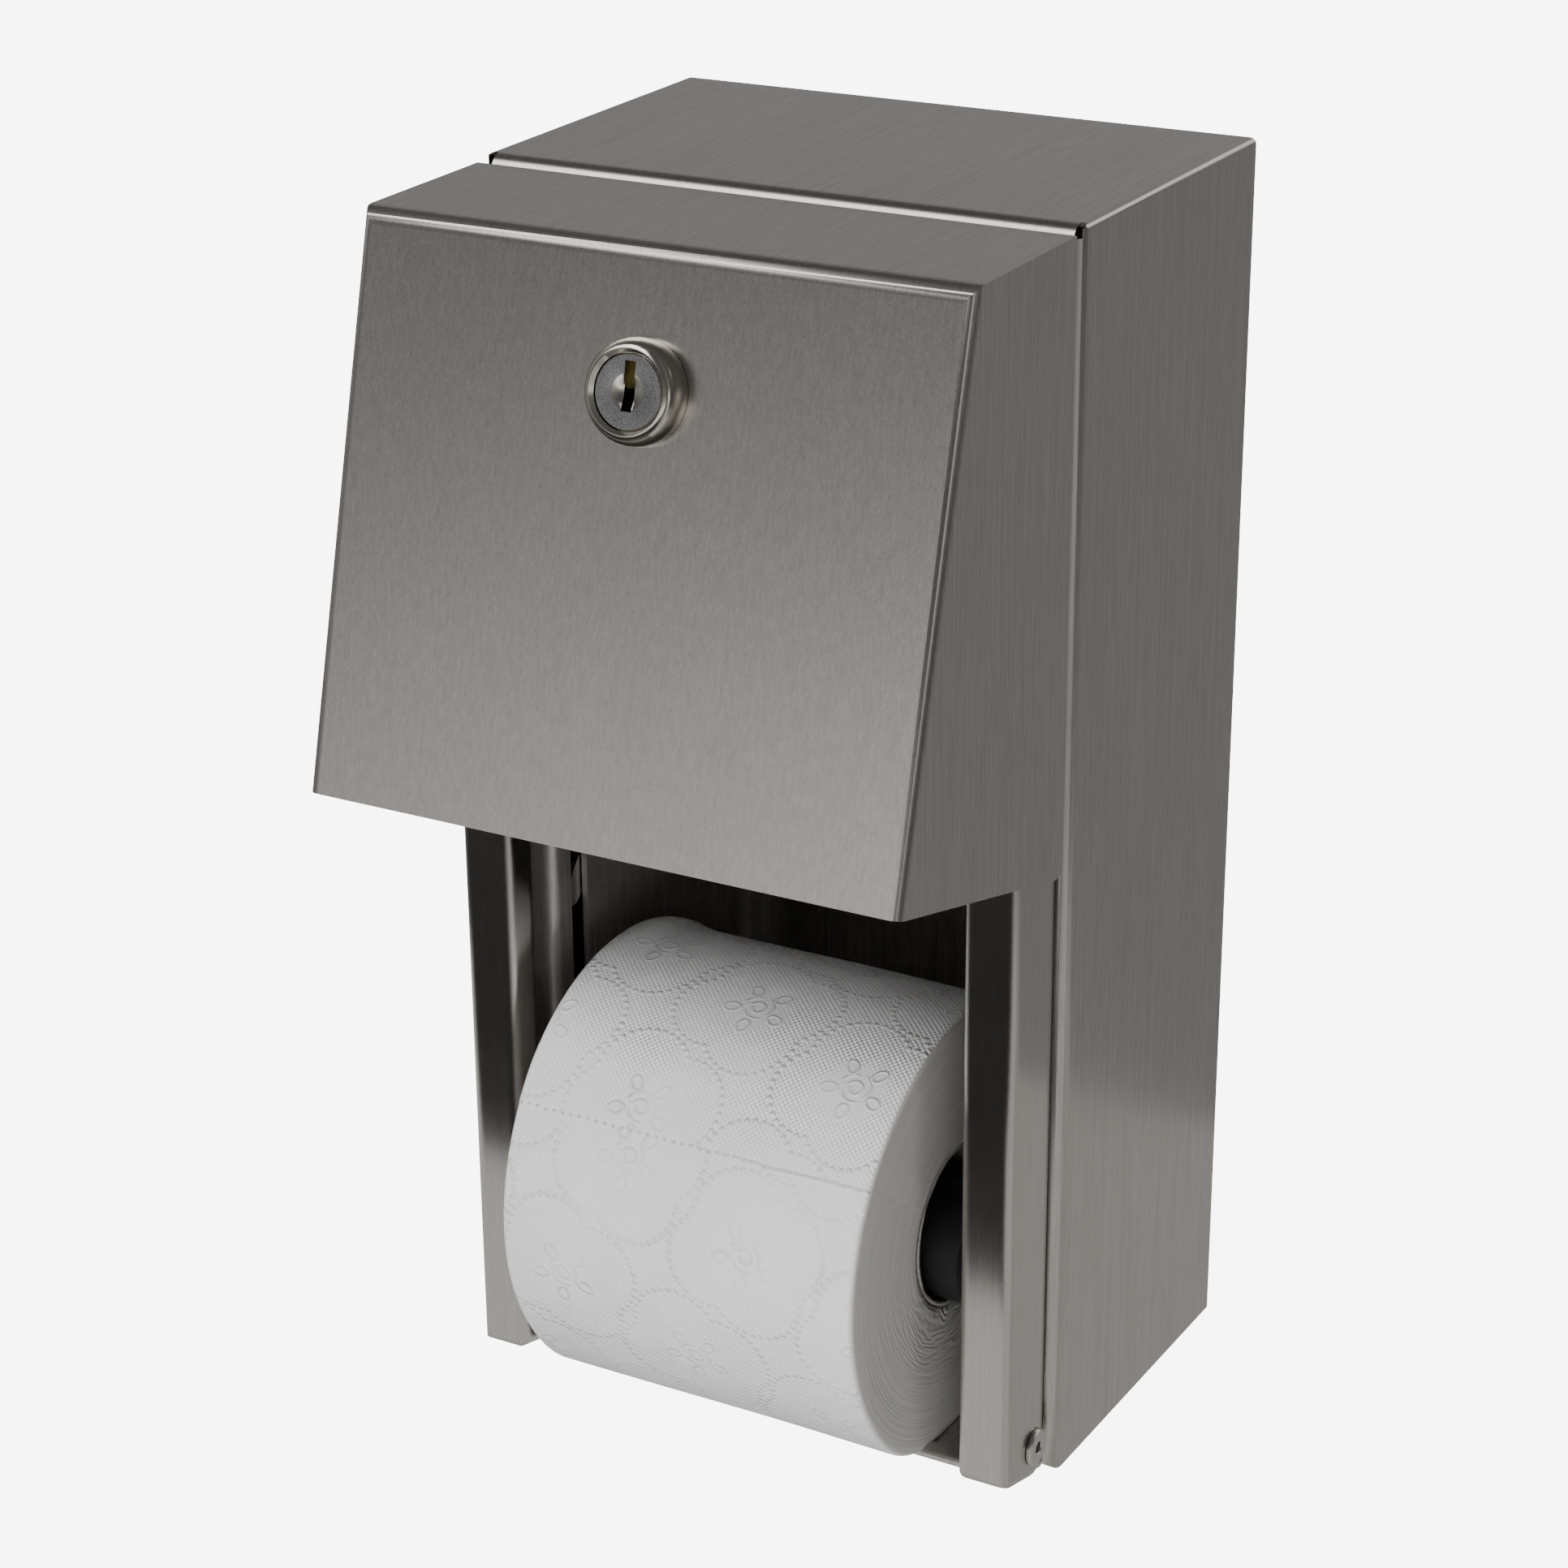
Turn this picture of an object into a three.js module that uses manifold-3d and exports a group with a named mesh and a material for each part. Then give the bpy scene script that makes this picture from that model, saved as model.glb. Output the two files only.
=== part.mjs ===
// Two-roll toilet paper dispenser for a washroom wall, in millimetres, +Z up.
// The origin is the middle of the cabinet's back face, which lies on the wall. The front faces -Y,
// and +X is to the right of someone who stands before it. Inside this file the heights are counted
// from the cabinet's bottom edge, and the outermost group moves them to the origin.
import * as THREE from "three";
import { mergeVertices } from "three/addons/utils/BufferGeometryUtils.js";
import Module from "manifold-3d";

const wasm = await Module();
wasm.setup();

// Cabinet: a folded wrapper of top and sides, closed by a back panel and a floor plate
const cabinetWidth = 152.4;
const cabinetDepth = 92.4;
const cabinetHeight = 308.7;
const cabinetSheet = 0.95;
const cabinetBend = 4;
const cabinetEdgeRadius = 1.5;
const sideFlange = 9;
const topFlange = 12.8;
const cabinetCornerRadius = 3.5;
const reliefWidth = 1.5;
const reliefHeight = 2.8;
const seat = 0.3;

// Back panel and its four holes for wall screws
const backSheet = 1.2;
const wallHoleRadius = 3.5;
const wallHoleSpread = 96;
const wallHoleLow = 62;
const wallHoleDrop = 56.7;

// Guide frame: one sheet bent to a U in plan, with a slot in each side for the spindle ends
const guideSheet = 1.5;
const guideInset = 14;
const guideNoseRadius = 1.5;
const guideCornerRadius = 3.5;
const guideFlangeGap = 3.3;
const slotWidth = 7.4;
const slotSetback = 9.9;
const entryRise = 20;
const accessHoleRadius = 7;

// Floor plate, with a hemmed tongue that comes forward between the rails
const floorSheet = 1.2;
const floorRise = 0.1;
const tongueReach = 9.6;
const tongueSideGap = 0.5;
const hemDepth = 5;

// Door: a hood over the reserve roll, carried on two rails that pivot at the bottom
const hoodSheet = 1;
const hoodInset = 0.4;
const hoodTopDrop = 1.3;
const hoodTopBend = 4.7;
const hoodBend = 3;
const hoodCornerRadius = 3;
const hoodRearGap = 2.4;
const hoodTopDepth = 48.6;
const hoodSlopeLength = 131.7;
const hoodSlope = THREE.MathUtils.degToRad(14.56);
const railSheet = 0.95;
const railInset = 1.7;
const railWidth = 13.3;
const railFront = 22.85;
const railRearGap = 3.7;
const railReturnDepth = 9.8;
const railBend = 1.05;
const railCornerRadius = 4;
const railFootRadius = 2.6;
const railTopGap = 16;

// Door hinge: a bracket and a hollow rivet on each side
const pivotForward = 8;
const pivotHeight = 11.7;
const heelRadius = 7.6;
const bracketSheet = 1.5;
const bracketFootWidth = 7.7;
const bracketRadius = 6;
const bracketBend = 1;
const rivetShankRadius = 2.5;
const rivetBoreRadius = 1.5;
const rivetHeadRadius = 4.65;
const rivetHeadHeight = 1.25;
const rivetTailRadius = 3.8;
const rivetTailHeight = 1;
const runningClearance = 0.15;

// Lock in the hood, and the keeper that its cam turns behind
const lockDrop = 31;
const bezelRadius = 11.75;
const bezelHeight = 6.3;
const bezelDomeShare = 0.75;
const barrelRadius = 9.4;
const barrelLength = 16;
const barrelFlat = 8.3;
const plugHeadRadius = 8.3;
const plugHeadHeight = 2.8;
const plugRecess = 0.9;
const plugRadius = 6.5;
const dishRadius = 4;
const dishDepth = 0.9;
const dishSideShare = 0.8;
const keyWidth = 2.6;
const keyHeight = 10.8;
const keyRise = 1.25;
const keyDepth = 7;
const tangSide = 7;
const studRadius = 2.5;
const camSheet = 1.5;
const camReach = 26;
const camWidth = 12;
const nutFlats = 24;
const nutThickness = 4;
const camNutFlats = 10;
const camNutThickness = 3;
const keeperSheet = 1.5;
const keeperWidth = 28;
const keeperBend = 1.5;
const keeperGap = 0.4;
const keeperClearance = 1.6;
const keeperDrop = 5.4;
const keeperFoot = 10;

// Rolls: paper wound on a cardboard core, hung on a moulded spindle
const rollSideRoom = 27;
const rollHeadroom = 53.8;
const rollSpacing = 33.3;
const rollEdgeRadius = 3;
const rollDish = 0.8;
const rollShift = -3.5;
const rollGap = 0.3;
const coreBore = 20;
const coreWall = 1.1;
const spindleRadius = 14.6;
const spindleEndGap = 0.9;
const spindleChamfer = 1.6;
const spindleGroove = 0.8;
const spindleGrooveInset = 9;
const journalRadius = 3.5;
const journalLength = 5.2;
const journalGap = 0.2;

// Reserve catches: levers beside the guide frame that hold the reserve spindle's ends
const catchSheet = 1.5;
const catchGap = 0.4;
const catchPivotSetback = 27;
const catchPivotDrop = 63;
const catchHubRadius = 6.5;
const catchStemWidth = 9;
const catchNoseReach = 4.6;
const catchNoseDepth = 6;
const catchTailWidth = 7;
const catchTailLength = 30;
const catchTailAngle = THREE.MathUtils.degToRad(50.4);
const catchPinRadius = 2.1;
const catchHeadRadius = 4;
const catchHeadHeight = 0.8;
const stopPinRadius = 1.6;
const stopPinRise = 30;

// Facets and one overrun for every cut
const quarterSteps = 5;
const roundSteps = 24;
const lockSteps = 36;
const rollSteps = 48;
const overrun = 2;

// Places that the sizes above settle
const v2 = (a, b) => new THREE.Vector2(a, b);
const halfWidth = cabinetWidth / 2;
const front = -cabinetDepth;
const hoodTop = cabinetHeight - hoodTopDrop;
const hoodHalfWidth = halfWidth - hoodInset;
const slopeSin = Math.sin(hoodSlope);
const slopeCos = Math.cos(hoodSlope);
const backFront = -backSheet;
const webFront = backFront - seat - guideSheet;
const guideFace = halfWidth - guideInset;
const guideBack = guideFace + guideSheet;
const guideFlangeFront = front - seat - guideSheet;
const floorTop = floorRise + floorSheet;
const slotY = front + slotSetback;
const rollWidth = 2 * guideFace - rollSideRoom;
const rollsHeight = cabinetHeight - rollHeadroom - rollSpacing - floorTop - rollGap;
const rollRadius = rollsHeight / 4;
const lowerHeight = floorTop + rollGap + rollRadius;
const reserveHeight = cabinetHeight - rollHeadroom - rollRadius;
const hang = coreBore - spindleRadius - seat;
const lowerSpindleHeight = lowerHeight - hang;
const reserveSpindleHeight = reserveHeight + hang;
const entryHeight = reserveSpindleHeight + entryRise;
const pivotY = front - pivotForward;
const railOuter = halfWidth - railInset;
const lockY = front - hoodTopDepth - lockDrop * slopeSin;
const lockZ = hoodTop - lockDrop * slopeCos;
const catchPlace = v2(front + catchPivotSetback, reserveSpindleHeight - catchPivotDrop);
const noseRadius = catchPlace.distanceTo(v2(slotY, reserveSpindleHeight - journalRadius - journalGap));
const noseFront = front + catchNoseReach;
const noseTop = catchPlace.y + Math.sqrt(noseRadius ** 2 - (noseFront - catchPlace.x) ** 2);
const stemFront = slotY + slotWidth;

const brushedSteel = { color: 0x8d8a85, roughness: 0.38, metalness: 1 };
const foldedSteel = { color: 0x85827d, roughness: 0.42, metalness: 1 };
const innerSteel = { color: 0x777570, roughness: 0.45, metalness: 1 };
const polishedNickel = { color: 0xb9b4a6, roughness: 0.16, metalness: 1 };
const zincSteel = { color: 0xa3a29c, roughness: 0.35, metalness: 1 };
const blackPlastic = { color: 0x1b1b1d, roughness: 0.5, metalness: 0 };
const paper = { color: 0xe9e8e6, roughness: 0.95, metalness: 0 };
const cardboard = { color: 0xa39d92, roughness: 0.9, metalness: 0 };

// Solids and geometries
function solidOf(geometry) {
  const bare = geometry.clone();
  bare.deleteAttribute("normal");
  bare.deleteAttribute("uv");
  const merged = mergeVertices(bare);
  const vertProperties = new Float32Array(merged.attributes.position.array);
  const triVerts = Uint32Array.from(merged.index.array);
  return new wasm.Manifold(new wasm.Mesh({ numProp: 3, vertProperties, triVerts }));
}

function geometryOf(solid) {
  const mesh = solid.getMesh();
  const geometry = new THREE.BufferGeometry();
  geometry.setAttribute("position", new THREE.BufferAttribute(new Float32Array(mesh.vertProperties), 3));
  geometry.setIndex(new THREE.BufferAttribute(new Uint32Array(mesh.triVerts), 1));
  geometry.computeVertexNormals();
  return geometry;
}

// A mirror image on the other side of the middle plane, with its faces turned back outwards
function mirrored(geometry) {
  const copy = geometry.clone().scale(-1, 1, 1);
  const index = Array.from(copy.index.array);
  for (let i = 0; i < index.length; i += 3) {
    [index[i], index[i + 1]] = [index[i + 1], index[i]];
  }
  copy.setIndex(index);
  copy.computeVertexNormals();
  return copy;
}

// Outlines. A corner's arc is limited by half of the shorter side beside it.
function filletArc(before, corner, after, radius) {
  const toBefore = before.clone().sub(corner);
  const toAfter = after.clone().sub(corner);
  const room = Math.min(toBefore.length(), toAfter.length()) / 2;
  toBefore.normalize();
  toAfter.normalize();
  const half = Math.acos(THREE.MathUtils.clamp(toBefore.dot(toAfter), -1, 1)) / 2;
  const setback = Math.min(radius / Math.tan(half), room);
  if (!(radius > 0) || !(setback > 0)) return [corner.clone()];
  const bisector = toBefore.clone().add(toAfter).normalize();
  const centre = corner.clone().addScaledVector(bisector, setback / Math.cos(half));
  const start = corner.clone().addScaledVector(toBefore, setback).sub(centre);
  const end = corner.clone().addScaledVector(toAfter, setback).sub(centre);
  const sweep = Math.atan2(start.cross(end), start.dot(end));
  const steps = Math.max(1, Math.ceil(quarterSteps * Math.abs(sweep) / (Math.PI / 2)));
  const points = [];
  for (let i = 0; i <= steps; i++) {
    points.push(start.clone().rotateAround(v2(0, 0), sweep * i / steps).add(centre));
  }
  return points;
}

// What a corner loses when it is rounded: the arc, closed by a point well outside the corner
function cornerCut(before, corner, after, radius) {
  const arc = filletArc(before, corner, after, radius);
  const middle = arc[0].clone().add(arc[arc.length - 1]).divideScalar(2);
  return [...arc, corner.clone().multiplyScalar(2).sub(middle)];
}

// A closed outline from corners [a, b, radius]
function roundedOutline(corners) {
  const places = corners.map(([a, b]) => v2(a, b));
  const count = corners.length;
  return corners.flatMap(([, , radius = 0], i) =>
    filletArc(places[(i + count - 1) % count], places[i], places[(i + 1) % count], radius));
}

function circle(a, b, radius, steps = roundSteps) {
  const points = [];
  for (let i = 0; i < steps; i++) {
    const turn = 2 * Math.PI * i / steps;
    points.push(v2(a + radius * Math.cos(turn), b + radius * Math.sin(turn)));
  }
  return points;
}

// Where two offset lines meet, for the far face of a bent sheet
function offsetCorner(before, corner, after, distance) {
  const inward = corner.clone().sub(before).normalize();
  const outward = after.clone().sub(corner).normalize();
  const normalIn = v2(-inward.y, inward.x);
  const normalOut = v2(-outward.y, outward.x);
  const middle = normalIn.clone().add(normalOut).normalize();
  return corner.clone().addScaledVector(middle, distance / middle.dot(normalIn));
}

// The section of a bent sheet: a line of [a, b, inside bend radius] along one face,
// and the other face a sheet's thickness to its left
function bentStrip(line, thickness) {
  const face = line.map(([a, b]) => v2(a, b));
  const last = face.length - 1;
  const back = face.map((point, i) => {
    const before = i > 0 ? face[i - 1] : point.clone().multiplyScalar(2).sub(face[1]);
    const after = i < last ? face[i + 1] : point.clone().multiplyScalar(2).sub(face[last - 1]);
    return offsetCorner(before, point, after, thickness);
  });
  const near = [];
  const far = [];
  face.forEach((point, i) => {
    if (i === 0 || i === last) {
      near.push(point);
      far.push(back[i]);
      return;
    }
    const leftTurn = point.clone().sub(face[i - 1]).cross(face[i + 1].clone().sub(point)) > 0;
    const radius = line[i][2];
    near.push(...filletArc(face[i - 1], point, face[i + 1], leftTurn ? radius + thickness : radius));
    far.push(...filletArc(back[i - 1], back[i], back[i + 1], leftTurn ? radius : radius + thickness));
  });
  return near.concat(far.reverse());
}

// Extrusions. An outline in (y, z) runs along X, one in (x, z) along Y, and one in (x, y) along Z.
function extruded(outline, length) {
  return new THREE.ExtrudeGeometry(new THREE.Shape(outline), { depth: length, bevelEnabled: false });
}

const xAxis = new THREE.Vector3(1, 0, 0);
const yAxis = new THREE.Vector3(0, 1, 0);
const zAxis = new THREE.Vector3(0, 0, 1);
const slopeUp = new THREE.Vector3(0, slopeSin, slopeCos);
const slopeIn = new THREE.Vector3(0, slopeCos, -slopeSin);

function alongX(outline, from, to) {
  const turn = new THREE.Matrix4().makeBasis(yAxis, zAxis, xAxis);
  return solidOf(extruded(outline, to - from).applyMatrix4(turn).translate(from, 0, 0));
}

function alongY(outline, from, to) {
  const turn = new THREE.Matrix4().makeBasis(xAxis, zAxis, yAxis.clone().negate());
  return solidOf(extruded(outline, to - from).applyMatrix4(turn).translate(0, to, 0));
}

function alongZ(outline, from, to) {
  return solidOf(extruded(outline, to - from).translate(0, 0, from));
}

function box(low, high) {
  const size = high.map((value, i) => value - low[i]);
  const middle = high.map((value, i) => (value + low[i]) / 2);
  return solidOf(new THREE.BoxGeometry(...size).translate(...middle));
}

// A turned piece. The profile's points are [radius, place along the axis], and go up the outside.
function turned(profile, steps = roundSteps) {
  return new THREE.LatheGeometry(profile.map(([radius, along]) => v2(radius, along)), steps);
}

function turnedAlongX(profile, steps = roundSteps) {
  return turned(profile, steps).rotateZ(-Math.PI / 2);
}

function turnedAlongZ(profile, steps = roundSteps) {
  return turned(profile, steps).rotateX(Math.PI / 2);
}

function piece(name, geometry, look) {
  const mesh = new THREE.Mesh(geometry, new THREE.MeshStandardMaterial(look));
  mesh.name = name;
  return mesh;
}

// A left and a right piece from the right one's geometry
function pair(name, geometry, look) {
  return [piece(name + "_left", mirrored(geometry), look), piece(name + "_right", geometry, look)];
}

// Cabinet
function wrapperBlock(inset, ends) {
  const side = halfWidth - inset;
  const face = front + inset;
  const top = cabinetHeight - inset;
  const bend = Math.max(cabinetBend - inset, 0);
  const edge = Math.max(cabinetEdgeRadius - inset, 0);
  const plan = roundedOutline([[side, ends], [-side, ends], [-side, face, bend], [side, face, bend]]);
  const corner = ends > 0 ? 0 : cabinetCornerRadius;
  const profile = roundedOutline([[face, -ends, corner], [ends, -ends], [ends, top], [face, top, bend]]);
  const frontView = roundedOutline([[-side, -ends], [side, -ends], [side, top, edge], [-side, top, edge]]);
  return alongZ(plan, -ends, top)
    .intersect(alongX(profile, -side, side))
    .intersect(alongY(frontView, front - ends, ends));
}

function cabinetShell() {
  const reach = halfWidth - sideFlange;
  const mouth = box([-reach, front - overrun, -overrun],
    [reach, front + cabinetSheet + overrun, cabinetHeight - topFlange]);
  let shell = wrapperBlock(0, 0).subtract(wrapperBlock(cabinetSheet, overrun)).subtract(mouth);
  for (const side of [-1, 1]) {
    const ends = [halfWidth - cabinetSheet, halfWidth - cabinetSheet - reliefWidth].map((x) => side * x);
    shell = shell.subtract(box(
      [Math.min(...ends), front - overrun, cabinetHeight - reliefHeight],
      [Math.max(...ends), front + cabinetBend, cabinetHeight + overrun]));
  }
  return geometryOf(shell);
}

function wallHoles(radius) {
  const places = [];
  for (const side of [-1, 1]) {
    for (const height of [wallHoleLow, cabinetHeight - wallHoleDrop]) {
      places.push([side * wallHoleSpread / 2, height]);
    }
  }
  const depth = 2 * overrun + guideSheet + backSheet;
  return places.map(([x, z]) => {
    const drill = new THREE.CylinderGeometry(radius, radius, depth, roundSteps);
    return solidOf(drill.translate(x, webFront + guideSheet, z));
  });
}

function backPanel() {
  const side = halfWidth - cabinetSheet - seat;
  let panel = box([-side, backFront, 0], [side, 0, cabinetHeight - cabinetSheet - seat]);
  for (const hole of wallHoles(wallHoleRadius)) panel = panel.subtract(hole);
  return geometryOf(panel);
}

// The slot's outline in (y, z): up from the lower spindle's seat, and out at the front near its top
function slotOutline() {
  const half = slotWidth / 2;
  const bottom = lowerSpindleHeight - journalRadius - journalGap;
  const outside = guideFlangeFront - overrun;
  return roundedOutline([
    [slotY - half, bottom, half],
    [slotY + half, bottom, half],
    [slotY + half, entryHeight + half, half],
    [outside, entryHeight + half],
    [outside, entryHeight - half],
    [slotY - half, entryHeight - half, guideSheet],
  ]);
}

function guideFrame() {
  const flangeEnd = halfWidth - guideFlangeGap;
  const strip = bentStrip([
    [-flangeEnd, guideFlangeFront],
    [-guideFace, guideFlangeFront, guideNoseRadius],
    [-guideFace, webFront, guideCornerRadius],
    [guideFace, webFront, guideCornerRadius],
    [guideFace, guideFlangeFront, guideNoseRadius],
    [flangeEnd, guideFlangeFront],
  ], guideSheet);
  let frame = alongZ(strip, floorTop + seat, cabinetHeight - topFlange - seat);
  const notchEnd = flangeEnd - guideFlangeGap;
  for (const side of [-1, 1]) {
    const ends = [side * (guideFace - overrun), side * notchEnd];
    frame = frame.subtract(alongX(slotOutline(), Math.min(...ends), Math.max(...ends)));
    const walls = [side * (guideFace - overrun), side * (guideBack + overrun)];
    const pivotHole = circle(catchPlace.x, catchPlace.y, catchPinRadius + runningClearance);
    const stopHole = circle(...stopPinPlace(), stopPinRadius + runningClearance);
    for (const hole of [pivotHole, stopHole]) {
      frame = frame.subtract(alongX(hole, Math.min(...walls), Math.max(...walls)));
    }
  }
  for (const hole of wallHoles(accessHoleRadius)) frame = frame.subtract(hole);
  return geometryOf(frame);
}

function floorPlate() {
  const side = halfWidth - cabinetSheet - seat;
  const tongueSide = railOuter - railWidth - tongueSideGap;
  const rear = backFront - seat;
  const body = box([-side, front + cabinetBend, floorRise], [side, rear, floorTop]);
  const lip = front - tongueReach;
  const hemTop = floorTop + floorSheet;
  const tongue = alongX(roundedOutline([
    [front + 2 * cabinetBend, floorRise],
    [front + 2 * cabinetBend, floorTop],
    [lip + hemDepth, floorTop],
    [lip + hemDepth, hemTop],
    [lip, hemTop, floorSheet],
    [lip, floorRise, floorSheet],
  ]), -tongueSide, tongueSide);
  return geometryOf(body.add(tongue));
}

// A point in the hood's own frame: out from its front face, and up its slope from the lock
function fromLock(out, up) {
  return [lockY - out * slopeCos + up * slopeSin, lockZ + out * slopeSin + up * slopeCos];
}

function lockKeeper() {
  const lipOut = keeperSheet + keeperGap - barrelLength - seat;
  const lipBottom = fromLock(lipOut, barrelRadius + keeperClearance);
  const shelf = hoodTop - keeperDrop;
  const lipRise = (shelf - lipBottom[1]) / slopeCos;
  const lipTop = [lipBottom[0] + lipRise * slopeSin, shelf];
  const footFace = front - seat;
  const strip = bentStrip([
    [...lipBottom],
    [...lipTop, keeperBend],
    [footFace, shelf, keeperBend],
    [footFace, shelf - keeperFoot],
  ].map(([y, z, bend = 0]) => [y, z, bend]).reverse(), keeperSheet);
  return geometryOf(alongX(strip, -keeperWidth / 2, keeperWidth / 2));
}

// Door hinge
function hingeBracket() {
  const earInner = halfWidth - guideFlangeGap - bracketSheet;
  const footFront = guideFlangeFront - seat - bracketSheet;
  const strip = bentStrip([
    [halfWidth - guideFlangeGap - bracketFootWidth, footFront],
    [earInner, footFront, bracketBend],
    [earInner, pivotY - bracketRadius],
  ], bracketSheet);
  const low = pivotHeight - bracketRadius;
  const high = pivotHeight + bracketRadius;
  const ear = roundedOutline([
    [front, low],
    [front, high],
    [pivotY - bracketRadius, high, bracketRadius],
    [pivotY - bracketRadius, low, bracketRadius],
  ]);
  const hole = circle(pivotY, pivotHeight, rivetShankRadius + runningClearance);
  const solid = alongZ(strip, low, high)
    .intersect(alongX(ear, 0, halfWidth))
    .subtract(alongX(hole, earInner - overrun, halfWidth));
  return geometryOf(solid);
}

function hingeRivet() {
  const headFace = railOuter + runningClearance + rivetHeadHeight;
  const headSeat = railOuter + runningClearance;
  const tailSeat = halfWidth - guideFlangeGap - bracketSheet - runningClearance;
  const tailFace = tailSeat - rivetTailHeight;
  const shoulder = rivetHeadHeight / 2;
  const profile = [
    [rivetBoreRadius, tailFace],
    [rivetTailRadius, tailFace],
    [rivetTailRadius, tailSeat],
    [rivetShankRadius, tailSeat],
    [rivetShankRadius, headSeat],
    [rivetHeadRadius, headSeat],
    [rivetHeadRadius, headFace - shoulder],
    [rivetHeadRadius - shoulder / 2, headFace - shoulder / 4],
    [rivetHeadRadius - shoulder, headFace],
    [rivetBoreRadius + shoulder / 2, headFace],
    [rivetBoreRadius, headFace - shoulder / 2],
    [rivetBoreRadius, tailFace],
  ];
  return turnedAlongX(profile).translate(0, pivotY, pivotHeight);
}

// Door
function rail() {
  const inner = railOuter - railWidth;
  const face = front - railFront;
  const strip = bentStrip([
    [inner, face + railReturnDepth],
    [inner, face, railBend],
    [railOuter, face, railBend],
    [railOuter, front - railRearGap],
  ], railSheet);
  // The bottom edge is square to the hood's slope and runs on as the heel's arc round the pivot
  const edge = (y) => pivotHeight - heelRadius / slopeCos - (y - pivotY) * Math.tan(hoodSlope);
  const top = hoodTop - railTopGap;
  const rear = front - railRearGap;
  const heelEnd = Math.acos((rear - pivotY) / heelRadius);
  const heelStart = Math.PI / 2 + hoodSlope;
  const heel = [];
  for (let i = 0; i <= 2 * quarterSteps; i++) {
    const turn = -heelStart + (heelStart - heelEnd) * i / (2 * quarterSteps);
    heel.push(v2(pivotY + heelRadius * Math.cos(turn), pivotHeight + heelRadius * Math.sin(turn)));
  }
  const profile = [
    v2(face - overrun, edge(face - overrun)),
    ...heel,
    v2(rear, top),
    v2(face - overrun, top),
  ];
  const returnRear = face + railReturnDepth;
  const rearCorner = v2(returnRear, edge(returnRear));
  const rearCut = cornerCut(v2(face, edge(face)), rearCorner, v2(returnRear, top), railCornerRadius);
  // The inner corner of the foot is rounded too, in the view along the bottom edge
  const footCorner = v2(inner, -heelRadius);
  const footCut = cornerCut(v2(inner, 0), footCorner, v2(railOuter, -heelRadius), railFootRadius);
  const slopeOut = slopeIn.clone().negate();
  const footTool = extruded(footCut, 2 * railFront)
    .applyMatrix4(new THREE.Matrix4().makeBasis(xAxis, slopeUp, slopeOut))
    .translate(0, pivotY, pivotHeight);
  const hole = circle(pivotY, pivotHeight, rivetShankRadius + runningClearance);
  const solid = alongZ(strip, 0, top)
    .intersect(alongX(profile, 0, halfWidth))
    .subtract(alongX(rearCut, inner - overrun, inner + railSheet + seat))
    .subtract(solidOf(footTool))
    .subtract(alongX(hole, railOuter - overrun, halfWidth));
  return geometryOf(solid);
}

// The hood's block: its side profile crossed with a section whose front corners are rounded
function hoodBlock(inset, ends) {
  const top = hoodTop - inset;
  const bend = Math.max(hoodBend - inset, 0);
  const topBend = Math.max(hoodTopBend - inset, 0);
  const crease = inset * Math.tan((Math.PI / 2 - hoodSlope) / 2);
  const topFront = v2(front - hoodTopDepth + crease, top);
  const slope = hoodSlopeLength + ends - inset;
  const bottomFront = v2(topFront.x - slope * slopeSin, topFront.y - slope * slopeCos);
  const rear = front - hoodRearGap + ends;
  const bottomRear = bottomFront.y - (rear - bottomFront.x) * Math.tan(hoodSlope);
  const profile = roundedOutline([
    [rear, top],
    [topFront.x, topFront.y, topBend],
    [bottomFront.x, bottomFront.y],
    [rear, bottomRear, inset > 0 ? 0 : hoodCornerRadius],
  ]);
  const side = hoodHalfWidth - inset;
  const depth = 2 * cabinetDepth;
  const section = roundedOutline([[-side, inset, bend], [side, inset, bend], [side, depth], [-side, depth]]);
  const turn = new THREE.Matrix4().makeBasis(xAxis, slopeIn, slopeUp);
  const length = 2 * cabinetHeight;
  const crossed = extruded(section, length).translate(0, 0, -length / 2).applyMatrix4(turn)
    .translate(0, lockY, lockZ);
  return alongX(profile, -side, side).intersect(solidOf(crossed));
}

function hood() {
  const shell = hoodBlock(0, 0).subtract(hoodBlock(hoodSheet, overrun + hoodSheet));
  const drill = new THREE.CylinderGeometry(1, 1, 1, roundSteps).rotateX(Math.PI / 2);
  drill.scale(barrelRadius + seat, barrelRadius + seat, 2 * (hoodSheet + overrun));
  drill.rotateX(Math.PI / 2 - hoodSlope).translate(0, lockY, lockZ);
  return geometryOf(shell.subtract(solidOf(drill)));
}

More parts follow.
